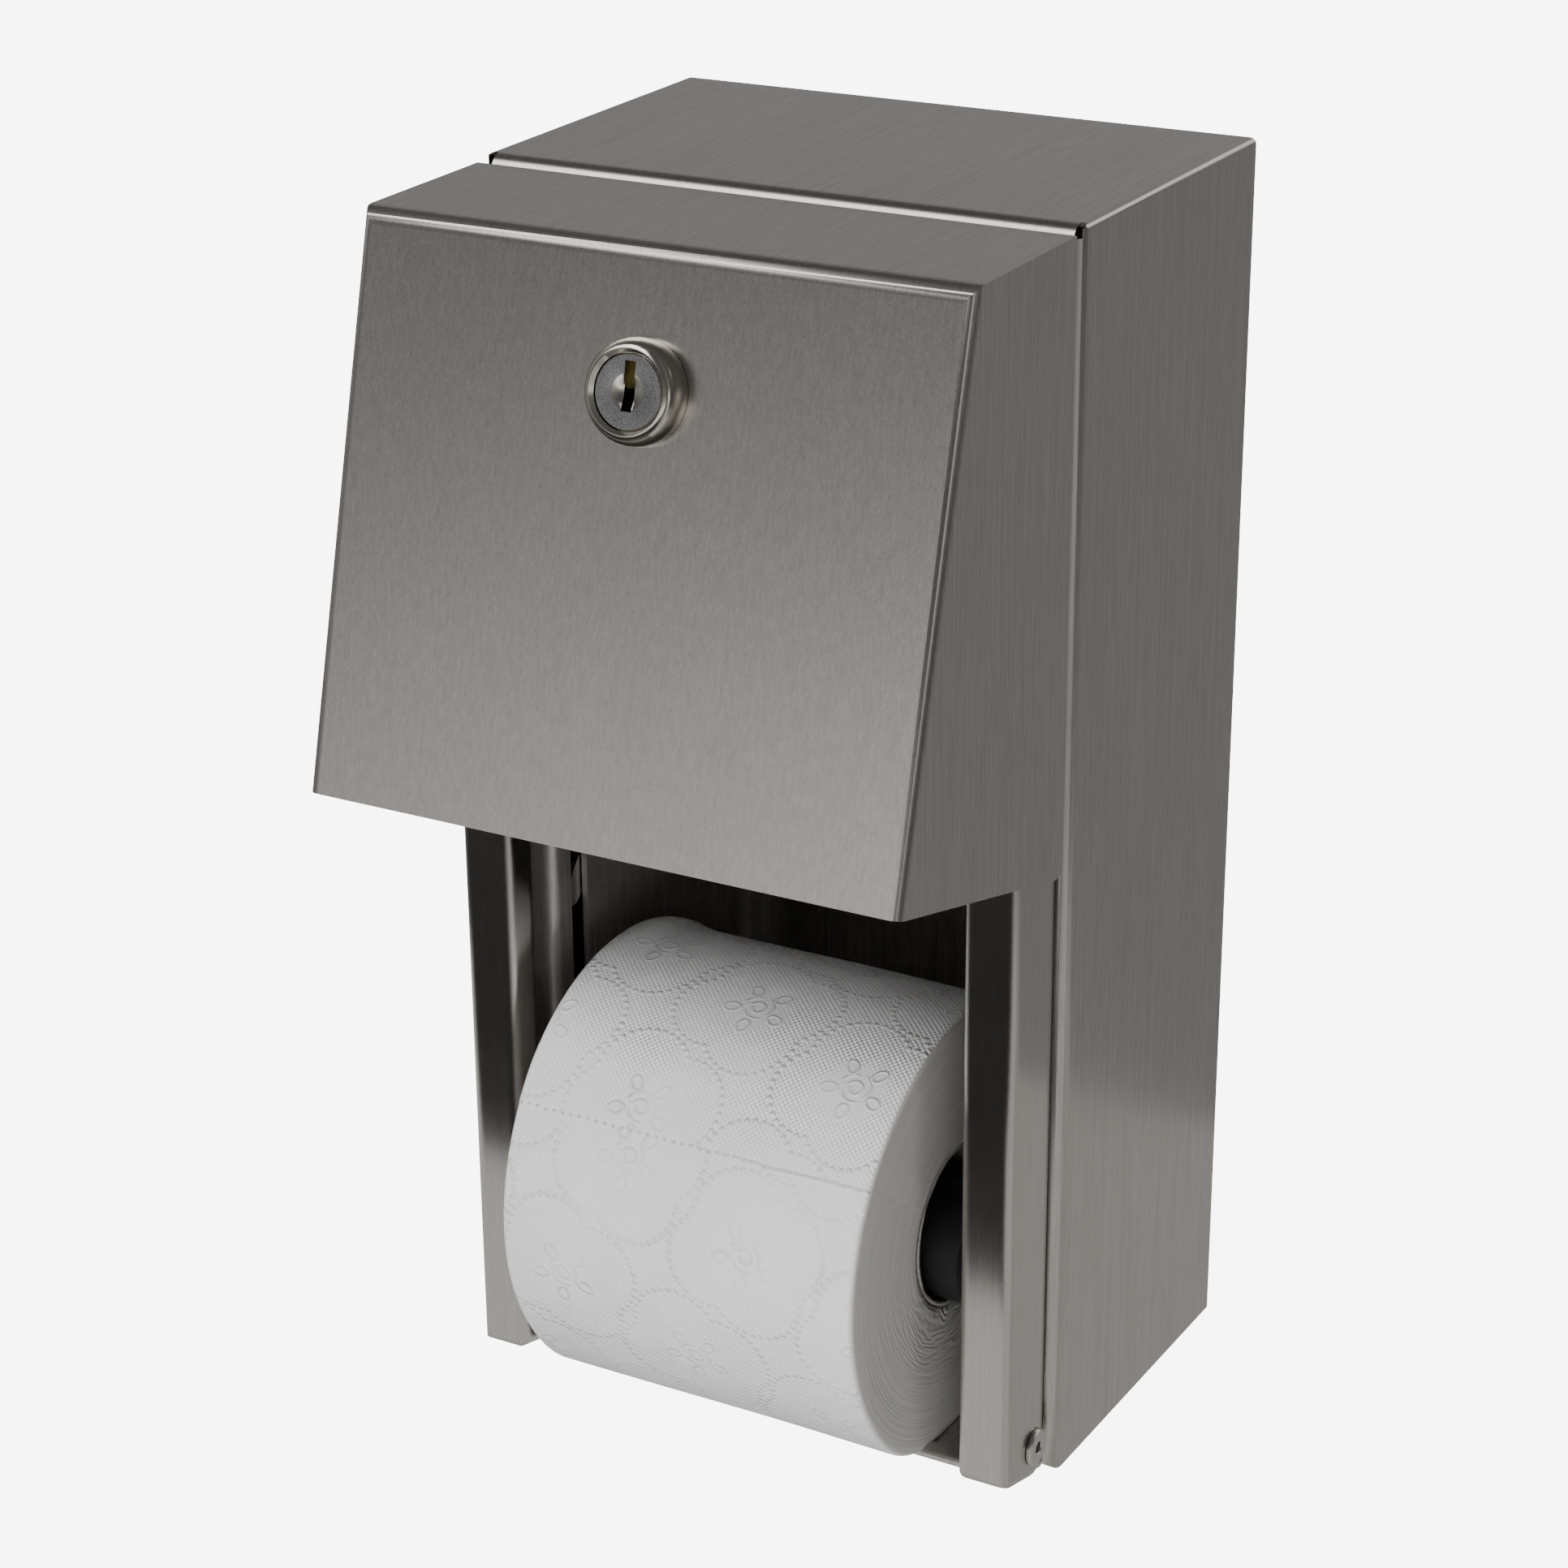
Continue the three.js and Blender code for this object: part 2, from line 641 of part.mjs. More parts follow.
// Lock, made along its own +Z, which points out of the hood's face, with +Y up the slope
function lockBody() {
  const rim = bezelRadius - plugHeadRadius - runningClearance;
  const lip = bezelHeight - plugRecess;
  const profile = [
    [plugRadius + runningClearance, -barrelLength],
    [barrelRadius, -barrelLength],
    [barrelRadius, seat / 2],
    [bezelRadius, seat / 2],
    [bezelRadius, bezelHeight * (1 - bezelDomeShare)],
  ];
  const steps = 2 * quarterSteps;
  for (let i = 1; i < steps; i++) {
    const turn = Math.PI / 2 * i / steps;
    profile.push([
      bezelRadius - rim * bezelDomeShare * (1 - Math.cos(turn)),
      bezelHeight * (1 - bezelDomeShare * (1 - Math.sin(turn))),
    ]);
  }
  profile.push(
    [bezelRadius - rim * bezelDomeShare, bezelHeight],
    [plugHeadRadius + runningClearance, lip],
    [plugHeadRadius + runningClearance, lip - plugHeadHeight - runningClearance],
    [plugRadius + runningClearance, lip - plugHeadHeight - runningClearance],
    [plugRadius + runningClearance, -barrelLength],
  );
  let body = solidOf(turnedAlongZ(profile, lockSteps));
  for (const side of [-1, 1]) {
    const ends = [side * barrelFlat, side * (barrelRadius + overrun)];
    body = body.subtract(box(
      [Math.min(...ends), -bezelRadius, -barrelLength - overrun],
      [Math.max(...ends), bezelRadius, -hoodSheet]));
  }
  return geometryOf(body);
}

function lockNut() {
  const top = -hoodSheet - runningClearance;
  const hexagon = circle(0, 0, nutFlats / Math.sqrt(3), 6);
  const hole = circle(0, 0, barrelRadius + runningClearance, lockSteps);
  return geometryOf(alongZ(hexagon, top - nutThickness, top)
    .subtract(alongZ(hole, top - nutThickness - overrun, top + overrun)));
}

function lockPlug() {
  const face = bezelHeight - plugRecess;
  const shoulder = face - plugHeadHeight;
  const rear = -barrelLength - runningClearance;
  const tangEnd = rear - camSheet - runningClearance;
  const profile = [
    [0, tangEnd + camSheet],
    [plugRadius, tangEnd + camSheet],
    [plugRadius, shoulder],
    [plugHeadRadius, shoulder],
    [plugHeadRadius, face - seat],
    [plugHeadRadius - seat, face],
    [dishRadius, face],
    [dishRadius / 2, face - dishDepth * dishSideShare],
    [0, face - dishDepth],
  ];
  const halfTang = tangSide / 2;
  const key = box(
    [-keyWidth / 2, keyRise - keyHeight / 2, face - keyDepth],
    [keyWidth / 2, keyRise + keyHeight / 2, face + overrun]);
  const studEnd = tangEnd - camNutThickness - overrun / 2;
  return geometryOf(solidOf(turnedAlongZ(profile, lockSteps))
    .subtract(box([-plugRadius, -plugRadius, tangEnd], [plugRadius, plugRadius, rear]))
    .add(box([-halfTang, -halfTang, tangEnd], [halfTang, halfTang, rear + overrun]))
    .add(alongZ(circle(0, 0, studRadius), studEnd, tangEnd + overrun))
    .subtract(key));
}

// The cam points to the left when the door is free, and turns up behind the keeper to lock it
function lockCam() {
  const top = -barrelLength - runningClearance - seat / 2;
  const half = camWidth / 2;
  const arm = roundedOutline([
    [half, half, half],
    [-camReach, half, half],
    [-camReach, -half, half],
    [half, -half, half],
  ]);
  const hole = tangSide / 2 + runningClearance;
  return geometryOf(alongZ(arm, top - camSheet, top)
    .subtract(box([-hole, -hole, top - camSheet - overrun], [hole, hole, top + overrun])));
}

function camNut() {
  const top = -barrelLength - runningClearance - seat - camSheet - runningClearance;
  const hexagon = circle(0, 0, camNutFlats / Math.sqrt(3), 6);
  const hole = circle(0, 0, studRadius + runningClearance);
  return geometryOf(alongZ(hexagon, top - camNutThickness, top)
    .subtract(alongZ(hole, top - camNutThickness - overrun, top + overrun)));
}

function lock() {
  const group = new THREE.Group();
  group.position.set(0, lockY, lockZ);
  group.rotation.x = Math.PI / 2 - hoodSlope;
  group.add(
    piece("lock_body", lockBody(), polishedNickel),
    piece("lock_nut", lockNut(), zincSteel),
    piece("lock_plug", lockPlug(), polishedNickel),
    piece("lock_cam", lockCam(), zincSteel),
    piece("cam_nut", camNut(), zincSteel),
  );
  return group;
}

// Reserve catches. The nose's top is an arc round the pivot, so it slides from under the spindle's end.
function catchLever() {
  const pivot = catchPlace;
  const arc = [];
  const first = Math.acos((noseFront - pivot.x) / noseRadius);
  const last = Math.acos((stemFront + catchStemWidth / 2 - pivot.x) / noseRadius);
  for (let i = 0; i <= quarterSteps; i++) {
    const turn = first + (last - first) * i / quarterSteps;
    arc.push([pivot.x + noseRadius * Math.cos(turn), pivot.y + noseRadius * Math.sin(turn)]);
  }
  const stem = roundedOutline([
    ...arc,
    [pivot.x + catchStemWidth / 2, pivot.y],
    [pivot.x - catchStemWidth / 2, pivot.y],
    [stemFront, noseTop - catchNoseDepth, catchNoseDepth / 2],
    [noseFront, noseTop - catchNoseDepth, catchNoseDepth / 3],
  ]);
  const outer = guideBack + catchGap + catchSheet;
  const inner = guideBack + catchGap;
  const tail = new THREE.Matrix4().makeRotationX(catchTailAngle);
  const half = catchTailWidth / 2;
  const arm = alongX(roundedOutline([
    [0, half],
    [-catchTailLength, half, half / 2],
    [-catchTailLength, -half, half],
    [0, -half],
  ]), inner, outer);
  const turnedArm = solidOf(geometryOf(arm).applyMatrix4(tail).translate(0, pivot.x, pivot.y));
  const hole = circle(pivot.x, pivot.y, catchPinRadius + runningClearance);
  return geometryOf(alongX(stem, inner, outer)
    .add(alongX(circle(pivot.x, pivot.y, catchHubRadius), inner, outer))
    .add(turnedArm)
    .subtract(alongX(hole, inner - overrun, outer + overrun)));
}

// A pin riveted in the guide frame's side, with a low head in the roll bay
function guidePin(y, z, radius, headRadius, farHead) {
  const inner = guideFace - catchHeadHeight;
  const leverEnd = guideBack + catchGap + catchSheet;
  const end = leverEnd + runningClearance;
  const profile = [
    [0, inner],
    [headRadius, inner],
    [headRadius, guideFace - runningClearance],
    [radius, guideFace - runningClearance],
    [radius, end],
  ];
  const headEnd = end + catchHeadHeight;
  if (farHead) profile.push([headRadius, end], [headRadius, headEnd], [0, headEnd]);
  else profile.push([0, end]);
  return turnedAlongX(profile, roundSteps).translate(0, y, z);
}

// The stop pin stands just in front of the lever's stem
function stopPinPlace() {
  const rise = stopPinRise / (noseTop - catchNoseDepth - catchPlace.y);
  const stemFoot = catchPlace.x - catchStemWidth / 2;
  return [stemFoot + (stemFront - stemFoot) * rise - stopPinRadius - seat, catchPlace.y + stopPinRise];
}

function catchPivot() {
  return guidePin(catchPlace.x, catchPlace.y, catchPinRadius, catchHeadRadius, true);
}

function catchStop() {
  const [y, z] = stopPinPlace();
  return guidePin(y, z, stopPinRadius, catchPinRadius + catchHeadHeight, false);
}

// Rolls and spindles, turned about X through their own middle
function spindle() {
  const half = guideFace - spindleEndGap;
  const grooveIn = half - spindleGrooveInset;
  const end = half + journalLength;
  const right = [
    [spindleRadius, grooveIn - spindleGroove],
    [spindleRadius - spindleGroove, grooveIn],
    [spindleRadius, grooveIn + spindleGroove],
    [spindleRadius, half - spindleChamfer],
    [spindleRadius - spindleChamfer, half],
    [journalRadius, half],
    [journalRadius, end - journalRadius / 2],
    [journalRadius / 2, end],
    [0, end],
  ];
  const left = right.map(([radius, along]) => [radius, -along]).reverse();
  return turnedAlongX([...left, ...right], rollSteps / 2);
}

function rollCore() {
  const half = rollWidth / 2 - rollDish;
  return turnedAlongX([
    [coreBore, -half],
    [coreBore + coreWall, -half],
    [coreBore + coreWall, half],
    [coreBore, half],
    [coreBore, -half],
  ], rollSteps).translate(rollShift, 0, 0);
}

// The paper's ends are dished a little towards the core, and its outer edges are soft
function paperRoll() {
  const half = rollWidth / 2;
  const inside = coreBore + coreWall + runningClearance;
  const round = [];
  for (let i = 0; i <= quarterSteps; i++) {
    const turn = Math.PI / 2 * i / quarterSteps;
    round.push([
      rollRadius - rollEdgeRadius * (1 - Math.cos(turn)),
      half - rollEdgeRadius * (1 - Math.sin(turn)),
    ]);
  }
  const right = [...round, [(inside + rollRadius) / 2, half - rollDish / 4], [inside, half - rollDish]];
  const left = right.map(([radius, along]) => [radius, -along]).reverse();
  return turnedAlongX([...left, ...right, left[0]], rollSteps).translate(rollShift, 0, 0);
}

function rollSet(prefix, rollHeight, spindleHeight) {
  const group = new THREE.Group();
  group.position.set(0, slotY, rollHeight);
  const bar = piece(prefix + "_spindle", spindle(), blackPlastic);
  bar.position.z = spindleHeight - rollHeight;
  group.add(
    bar,
    piece(prefix + "_core", rollCore(), cardboard),
    piece(prefix + "_paper", paperRoll(), paper),
  );
  return group;
}

function dispenser() {
  const group = new THREE.Group();
  group.position.z = -cabinetHeight / 2;
  group.add(
    piece("cabinet_shell", cabinetShell(), brushedSteel),
    piece("back_panel", backPanel(), foldedSteel),
    piece("guide_frame", guideFrame(), innerSteel),
    piece("floor_plate", floorPlate(), innerSteel),
    piece("lock_keeper", lockKeeper(), zincSteel),
    ...pair("hinge_bracket", hingeBracket(), zincSteel),
    ...pair("hinge_rivet", hingeRivet(), polishedNickel),
    piece("hood", hood(), brushedSteel),
    ...pair("rail", rail(), foldedSteel),
    lock(),
    ...pair("catch_lever", catchLever(), zincSteel),
    ...pair("catch_pivot", catchPivot(), zincSteel),
    ...pair("catch_stop", catchStop(), zincSteel),
    rollSet("lower", lowerHeight, lowerSpindleHeight),
    rollSet("reserve", reserveHeight, reserveSpindleHeight),
  );
  return group;
}

export default dispenser();
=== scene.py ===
"""Looks of the two-roll paper dispenser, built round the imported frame.

Metres, +Z up. The wall is at Y = 0 and the front faces -Y. A CAD node keeps its shape and gets its
finish here. The soft pieces, which are the paper and the cardboard cores, are modelled here in full.
"""
import math

import bpy
from mathutils import Matrix, Vector, noise

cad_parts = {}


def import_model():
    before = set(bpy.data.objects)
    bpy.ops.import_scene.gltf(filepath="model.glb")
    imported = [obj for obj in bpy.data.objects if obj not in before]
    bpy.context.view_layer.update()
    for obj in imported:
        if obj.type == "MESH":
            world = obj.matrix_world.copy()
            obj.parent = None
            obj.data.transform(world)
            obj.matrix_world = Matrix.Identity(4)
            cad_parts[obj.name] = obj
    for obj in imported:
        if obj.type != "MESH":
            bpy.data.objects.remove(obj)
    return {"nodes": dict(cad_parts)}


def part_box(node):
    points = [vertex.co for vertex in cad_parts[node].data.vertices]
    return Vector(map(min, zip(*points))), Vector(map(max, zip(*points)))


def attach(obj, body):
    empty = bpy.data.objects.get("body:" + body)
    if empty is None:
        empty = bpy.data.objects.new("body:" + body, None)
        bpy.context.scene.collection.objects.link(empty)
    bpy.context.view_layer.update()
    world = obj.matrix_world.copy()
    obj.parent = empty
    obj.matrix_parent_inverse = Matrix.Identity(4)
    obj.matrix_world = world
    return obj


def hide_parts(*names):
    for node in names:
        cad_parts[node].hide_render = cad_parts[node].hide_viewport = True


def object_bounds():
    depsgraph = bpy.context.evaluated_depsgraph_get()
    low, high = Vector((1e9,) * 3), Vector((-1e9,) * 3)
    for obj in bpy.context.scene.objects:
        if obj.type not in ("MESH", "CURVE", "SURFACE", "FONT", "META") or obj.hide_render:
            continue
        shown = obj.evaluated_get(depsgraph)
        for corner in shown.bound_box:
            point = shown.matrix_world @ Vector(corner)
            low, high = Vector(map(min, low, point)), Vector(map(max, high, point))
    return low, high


MM = 0.001
PHOTO_WIDTH = 1932
SENSOR_WIDTH = 36

# Camera, fitted to the edges of the cabinet, the hood and the roll in the photograph
CAMERA_PLACE = Vector((417.64, -826.13, 359.55)) * MM
CAMERA_AZIMUTH = math.radians(31.446)
CAMERA_ELEVATION = math.radians(24.044)
CAMERA_ROLL = math.radians(-1.26)
FOCAL_PIXELS = 4771
CENTRE_PIXELS = (820, 1110)

FLOOR_DROP = 6 * MM
FLOOR_REACH = 40
CARD_RISE = 0.5 * MM

# Shading of the CAD nodes: edges sharper than the angle stay sharp, and large faces stay flat
SMOOTH_ANGLE = math.radians(32)
FLAT_FACE_WEIGHT = 60
JOIN_DISTANCE = 0.001 * MM

# Metals: their colours, the brushing's streaks as (width, length), how much they darken and lighten it,
# and how nearly upright the normal of a face is that counts as level
STEEL = (0.575, 0.54, 0.508)
NICKEL = (0.72, 0.68, 0.60)
FINE_STREAKS = (0.22 * MM, 7 * MM)
BROAD_STREAKS = (0.9 * MM, 40 * MM)
STREAK_CONTRAST = 0.17
LEVEL_NORMAL = 0.72

# Lock plug: its dish and face, and how far below the face the painted shade of the key slot's inside begins
DISH_RADIUS = 4 * MM
DISH_BLUR = 0.15 * MM
PLUG_FACE_RADIUS = 8.15 * MM
SLOT_SHADE_DEPTHS = (1.1 * MM, 2.2 * MM)
WAFER_RISE = (0.4 * MM, 0.8 * MM)

# Rolls: paper that stands a little proud of its solid and rests on the plate below it
FULLER = 1.5 * MM
SAG = 0.3 * MM
REST_GAP = 0.2 * MM
SHEET_STEP = 0.25 * MM
TAIL_TURN = math.radians(146.7)
LOOSE_RISE = 1.5 * MM
LOOSE_PLACE = 44 * MM
LOOSE_WIDTH = 5 * MM
LOOSE_TURN = math.radians(425)
BULGE = 2.4 * MM
BULGE_TURN = math.radians(243)
ROLL_EDGE = 1.8 * MM
END_DISH = 0.8 * MM
DENT = 0.7 * MM
LAYER_STEP = 0.15 * MM
END_LEAN = 0.35 * MM
SEAM_GAP = 0.2 * MM
CORE_WALL = 1.05 * MM
CORE_WORN = 3 * MM
CORE_TORN = 0.5 * MM
CORE_PRESSED = 0.3 * MM

# Embossing, in the roll's own millimetres along it and round it, for the sheets above and below the tail
MEDALLION_PITCH = 38.2
MEDALLION_LEAN = math.radians(25.6)
MEDALLION_STARTS = ((1.3, 104.6), (-14.7, 151.1))
LOBE_OFFSET = 6.4
LOBE_RADIUS = 12
DOT_PITCH = 2.2
DOT_RADIUS = 1
ROSE_RINGS = (1.7, 3.7)
ROSE_LINE = 0.6
LEAVES = 5
LEAF_PLACE = 6.6
LEAF_HALVES = (2, 1.4)
WAFFLE_PITCH = 1.05
PERFORATION_PITCH = 2.4
WRINKLE_PITCH = 1.9
RELIEF_HEIGHT = 0.65 * MM

# Studio seen in the metal: how bright it is at each height in degrees, for the sides in turn from the
# back left, with the azimuths in degrees that the change to that side spans, front being 0
SURROUNDINGS = (
    (None, ((-90, 0.30), (-45, 0.26), (-24, 0.22), (-5, 0.24), (5, 0.27), (14, 0.30), (26, 0.26),
            (40, 0.14), (60, 0.08), (90, 0.10))),
    ((-100, -75), ((-90, 0.30), (-24, 0.10), (-5, 0.20), (10, 0.28), (30, 0.30), (50, 0.20), (90, 0.10))),
    ((-74, -62), ((-90, 0.25), (-50, 0.08), (-35, 0.035), (-20, 0.035), (-10, 0.22), (0, 0.26), (5, 0.21),
                  (10, 0.17), (15, 0.14), (22, 0.08), (29, 1.20), (36, 3.40), (57, 3.40), (64, 0.50),
                  (75, 0.10))),
    ((-42, -18), ((-90, 0.25), (-50, 0.10), (-30, 0.03), (-18, 0.03), (-8, 1.20), (1, 1.60), (7, 0.40),
                  (12, 0.21), (22, 0.13), (29, 1.20), (36, 3.40), (57, 3.40), (64, 0.50), (90, 0.10))),
    ((-24, -14), ((-90, 0.25), (-50, 0.10), (-30, 0.03), (-18, 0.03), (-8, 0.80), (1, 1.15), (7, 0.38),
                  (12, 0.19), (22, 0.10), (90, 0.08))),
    ((28, 36), ((-90, 0.30), (-45, 0.30), (-24, 0.25), (-12, 0.08), (5, 0.07), (20, 0.10), (90, 0.10))),
    ((46, 54), ((-90, 0.30), (-50, 0.40), (-32, 0.50), (-8, 0.50), (8, 0.90), (20, 0.20), (90, 0.10))),
    ((64, 74), ((-90, 0.30), (-45, 0.30), (-24, 0.25), (-12, 0.08), (5, 0.07), (20, 0.10), (90, 0.10))),
    ((100, 125), ((-90, 0.35), (-45, 0.32), (-30, 0.24), (-5, 0.22), (8, 0.22), (16, 1.10), (36, 1.10),
                  (44, 0.14), (60, 0.08), (90, 0.10))),
)
BRIGHTEST = 4


class Nodes:
    """Short calls for building a node tree."""

    def __init__(self, tree):
        self.tree = tree

    def put(self, socket, value):
        """Sets an input socket to a constant, or links it to another socket."""
        if isinstance(value, bpy.types.NodeSocket):
            self.tree.links.new(value, socket)
        else:
            socket.default_value = value

    def add(self, kind, inputs=None, **settings):
        node = self.tree.nodes.new(kind)
        for key, value in settings.items():
            setattr(node, key, value)
        for key, value in (inputs or {}).items():
            self.put(node.inputs[key], value)
        return node

    def math(self, operation, *values):
        node = self.add("ShaderNodeMath", operation=operation)
        for socket, value in zip(node.inputs, values):
            self.put(socket, value)
        return node.outputs[0]

    def vector(self, operation, *values):
        node = self.add("ShaderNodeVectorMath", operation=operation)
        for socket, value in zip(node.inputs, values):
            self.put(socket, value)
        return node.outputs["Value"] if operation in ("LENGTH", "DOT_PRODUCT") else node.outputs[0]

    def split(self, vector):
        return self.add("ShaderNodeSeparateXYZ", {"Vector": vector}).outputs

    def join(self, x, y, z):
        return self.add("ShaderNodeCombineXYZ", {"X": x, "Y": y, "Z": z}).outputs[0]

    def stretched(self, vector, scale):
        return self.vector("MULTIPLY", vector, scale)

    def noise(self, vector, scale=1.0, detail=2.0, roughness=0.5):
        node = self.add("ShaderNodeTexNoise", {
            "Vector": vector, "Scale": scale, "Detail": detail, "Roughness": roughness})
        return node.outputs["Fac"]

    def ramp(self, factor, stops):
        """A colour ramp with stops of (place, grey or colour)."""
        node = self.add("ShaderNodeValToRGB", {"Fac": factor})
        elements = node.color_ramp.elements
        while len(elements) < len(stops):
            elements.new(0.5)
        for element, (place, colour) in zip(elements, stops):
            element.position = place
            rgb = colour if isinstance(colour, tuple) else (colour, colour, colour)
            element.color = (*rgb, 1)
        return node.outputs["Color"]

    def mix(self, factor, first, second, blend="MIX"):
        node = self.add("ShaderNodeMix", data_type="RGBA", blend_type=blend)
        self.put(node.inputs["Factor"], factor)
        for socket, value in ((node.inputs[6], first), (node.inputs[7], second)):
            self.put(socket, (*value, 1) if isinstance(value, tuple) else value)
        return node.outputs[2]

    def blend(self, factor, first, second):
        node = self.add("ShaderNodeMix", data_type="FLOAT")
        for socket, value in zip(node.inputs[:1] + node.inputs[2:4], (factor, first, second)):
            self.put(socket, value)
        return node.outputs[0]

    def between(self, value, low, high):
        """Value taken from low to high onto 0 to 1, and held there."""
        node = self.add("ShaderNodeMapRange", {"Value": value, "From Min": low, "From Max": high})
        return node.outputs[0]

    def bump(self, height, strength, distance, normal=None):
        node = self.add("ShaderNodeBump", {"Height": height, "Strength": strength, "Distance": distance})
        if normal is not None:
            self.put(node.inputs["Normal"], normal)
        return node.outputs[0]

    def place(self):
        return self.add("ShaderNodeTexCoord").outputs["Object"]

    def facing(self):
        return self.add("ShaderNodeTexCoord").outputs["Normal"]

    def from_nearest(self, value, pitch):
        """Distance from the nearest multiple of pitch, with its sign."""
        turns = self.math("DIVIDE", value, pitch)
        return self.math("MULTIPLY", self.math("SUBTRACT", turns, self.math("ROUND", turns)), pitch)

    def length(self, x, y):
        return self.math("SQRT", self.math("ADD", self.math("MULTIPLY", x, x), self.math("MULTIPLY", y, y)))

    def ridge(self, value, half):
        """1 where value is zero, falling to 0 at half on both sides."""
        return self.between(self.math("ABSOLUTE", value), half, 0)


def material(name, **constants):
    """A new material, with constants on its shader, as (material, nodes, shader)."""
    made = bpy.data.materials.new(name)
    made.use_nodes = True
    shader = made.node_tree.nodes["Principled BSDF"]
    for key, value in constants.items():
        shader.inputs[key.replace("_", " ")].default_value = value
    return made, Nodes(made.node_tree), shader


# Metals


def is_level(n):
    return n.math("GREATER_THAN", n.math("ABSOLUTE", n.split(n.facing())[2]), LEVEL_NORMAL)


def grain(n, width, length):
    """Brushed streaks, up the upright faces and from front to back on the level ones."""
    place = n.place()
    across, along = 1 / width, 1 / length
    upright = n.noise(n.stretched(place, (across, across, along)), detail=3)
    level = n.noise(n.stretched(place, (across, along, across)), detail=3)
    return n.blend(is_level(n), upright, level)


def across_grain(n):
    """The direction across the brushing, in which it spreads what the metal mirrors."""
    brushing = n.mix(is_level(n), (0, 0, 1), (0, 1, 0))
    turned = n.add("ShaderNodeVectorTransform", {"Vector": brushing}, vector_type="VECTOR",
                   convert_from="OBJECT", convert_to="WORLD").outputs[0]
    normal = n.add("ShaderNodeNewGeometry").outputs["Normal"]
    return n.vector("CROSS_PRODUCT", normal, turned)


def steel(name, tint=1.0, roughness=0.25, streaks=1.0, smudges=1.0, metallic=1.0, softened=0.0):
    """Satin stainless sheet: fine grain, broader faint streaks, and cloudy marks from handling.

    Softened is the radius that the shading gives to its edges.
    """
    made, n, shader = material(name, Metallic=metallic, Anisotropic=0.5)
    fine = grain(n, *FINE_STREAKS)
    broad = grain(n, *BROAD_STREAKS)
    clouds = n.noise(n.place(), 16, detail=3)
    spots = n.noise(n.place(), 70, detail=2)
    tone = n.math("ADD", n.math("MULTIPLY", fine, 0.6), n.math("MULTIPLY", broad, 0.4))
    dark = tuple(c * tint * (1 - STREAK_CONTRAST * streaks) for c in STEEL)
    light = tuple(min(c * tint * (1 + STREAK_CONTRAST * streaks), 1) for c in STEEL)
    n.put(shader.inputs["Base Color"], n.mix(n.between(tone, 0.3, 0.7), dark, light))
    haze = n.math("ADD", n.math("MULTIPLY", clouds, 0.7), n.math("MULTIPLY", spots, 0.3))
    spread = n.math("MULTIPLY_ADD", n.math("SUBTRACT", haze, 0.5), 0.07 * smudges, roughness)
    n.put(shader.inputs["Roughness"], n.math("MULTIPLY_ADD", n.math("SUBTRACT", fine, 0.5), 0.06, spread))
    rounded = n.add("ShaderNodeBevel", {"Radius": softened}, samples=6).outputs[0] if softened else None
    n.put(shader.inputs["Normal"], n.bump(tone, 0.06 * streaks, 0.02 * MM, rounded))
    n.put(shader.inputs["Tangent"], across_grain(n))
    return made


def nickel(name):
    """Polished plate with the faint wear of turning and handling."""
    made, n, shader = material(name, Metallic=1.0)
    wear = n.noise(n.place(), 900, detail=3)
    film = n.noise(n.place(), 160, detail=2)
    n.put(shader.inputs["Base Color"], n.mix(film, tuple(c * 0.92 for c in NICKEL), NICKEL))
    n.put(shader.inputs["Roughness"], n.math("MULTIPLY_ADD", wear, 0.16, 0.06))
    n.put(shader.inputs["Normal"], n.bump(wear, 0.06, 0.02 * MM))
    return made


def plug_metal(name, centre, axis, face):
    """The lock's plug: speckled satin face, polished dish, and a key slot painted dark inside as shade, with
    a brass wafer in it.
    """
    made, n, shader = material(name, Metallic=1.0)
    offset = n.vector("SUBTRACT", n.place(), tuple(centre))
    height = n.vector("DOT_PRODUCT", offset, tuple(axis))
    sideways = n.vector("LENGTH", n.vector("CROSS_PRODUCT", offset, tuple(axis)))
    up = n.vector("DOT_PRODUCT", offset, (0, axis.z, -axis.y))
    in_dish = n.between(sideways, DISH_RADIUS + DISH_BLUR, DISH_RADIUS - DISH_BLUR)
    on_face = n.math("LESS_THAN", sideways, PLUG_FACE_RADIUS)
    in_shaded_slot = n.between(height, *(face - depth for depth in SLOT_SHADE_DEPTHS))
    speckle = n.noise(n.place(), 3800, detail=3)
    wear = n.noise(n.place(), 900, detail=3)
    satin = n.ramp(speckle, [(0.35, (0.24, 0.24, 0.24)), (0.65, (0.48, 0.475, 0.47))])
    shine = n.mix(wear, tuple(c * 0.9 for c in NICKEL), NICKEL)
    polished = n.math("MAXIMUM", in_dish, n.math("SUBTRACT", 1, on_face))
    brass = n.between(up, *WAFER_RISE)
    # Painted shade: below the face, the key slot's inside is coloured near black to stand in for the shade in
    # the recess. The brass wafer keeps its own colour.
    inside = n.mix(brass, (0.015, 0.015, 0.015), (0.78, 0.72, 0.46))
    n.put(shader.inputs["Base Color"], n.mix(in_shaded_slot, n.mix(polished, satin, shine), inside))
    satin_rough = n.math("MULTIPLY_ADD", speckle, 0.2, 0.2)
    shine_rough = n.math("MULTIPLY_ADD", wear, 0.08, 0.02)
    rough = n.blend(polished, satin_rough, shine_rough)
    n.put(shader.inputs["Roughness"], n.math("MAXIMUM", rough, n.math("MULTIPLY", in_shaded_slot, 0.5)))
    rippled = n.math("MULTIPLY", speckle, n.math("SUBTRACT", 1, polished))
    n.put(shader.inputs["Normal"], n.bump(rippled, 0.5, 0.02 * MM))
    return made


